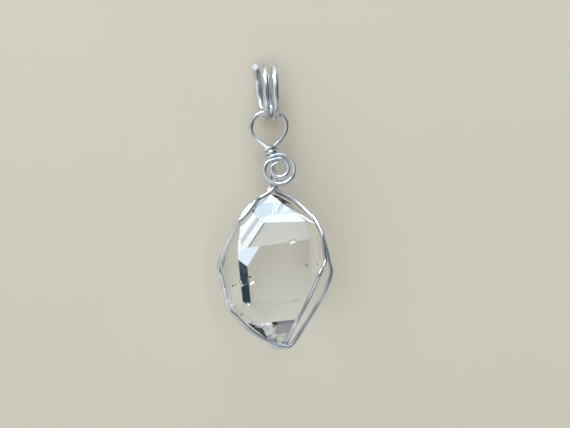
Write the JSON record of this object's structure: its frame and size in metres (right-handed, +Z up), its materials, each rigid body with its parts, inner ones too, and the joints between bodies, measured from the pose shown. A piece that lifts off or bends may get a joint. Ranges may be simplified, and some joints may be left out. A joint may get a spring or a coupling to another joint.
{
  "type": "herkimer diamond pendant",
  "caption": "Clear quartz crystal pointed at both ends, held by a silver wire wrap with a flat spiral at its neck and a coiled bail that swings in the loop.",
  "frame": {"origin": "middle of the lying pendant's bounding box, on the surface it rests on", "axes": "+Y along the pendant from the stone to the bail, +X to the right seen from the front, +Z up out of the stone's broad front face"},
  "size_m": [0.016, 0.0394, 0.0112],
  "materials": {
    "clear_quartz": "clear and colourless, natural glossy faces",
    "frame_silver": "polished round silver wire",
    "binding_silver": "polished round silver wire",
    "bail_silver": "polished round silver wire"
  },
  "bodies": {
    "wrapped_stone": {"herkimer_diamond": "clear_quartz", "frame_wire": "frame_silver", "binding_wire": "binding_silver"},
    "bail": {"bail_coil": "bail_silver"}
  },
  "joints": [
    {"name": "bail_swing", "type": "hinge", "parent": "wrapped_stone", "child": "bail", "pos_m": [-0.00072, 0.01292, 0.0041], "axis": [1, 0, 0], "range_deg": [-100, 100]}
  ]
}
